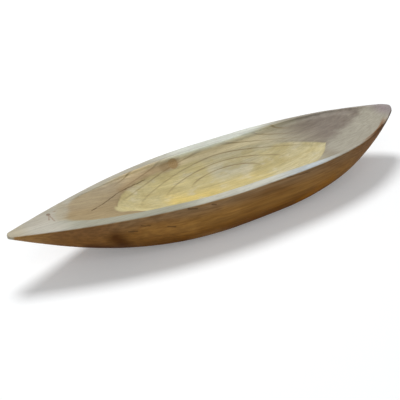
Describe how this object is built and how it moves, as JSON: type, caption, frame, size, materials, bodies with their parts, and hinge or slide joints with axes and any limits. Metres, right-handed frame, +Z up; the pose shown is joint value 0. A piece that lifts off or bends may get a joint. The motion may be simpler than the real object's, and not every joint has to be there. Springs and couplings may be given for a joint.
{
  "type": "boat-shaped wooden bowl",
  "caption": "Long boat-shaped bowl carved from one block of pale wood, with a pointed end, a rounder nose, a dished floor and a flat foot, for holding fruit or table decoration.",
  "frame": {"origin": "on the flat foot, under the middle of the bowl's length and breadth", "axes": "+X along the length to the rounder nose, +Y across the bowl to the side with the wall knot, +Z up out of the hollow"},
  "size_m": [0.6, 0.144, 0.0775],
  "materials": {
    "bowl_wood": "hand-scraped, dry, thinly oiled",
    "knot_wood": "dense dark knot, scraped flush"
  },
  "bodies": {
    "root": {"bowl_body": "bowl_wood", "wall_knot": "knot_wood", "deck_knot": "knot_wood"}
  },
  "joints": []
}
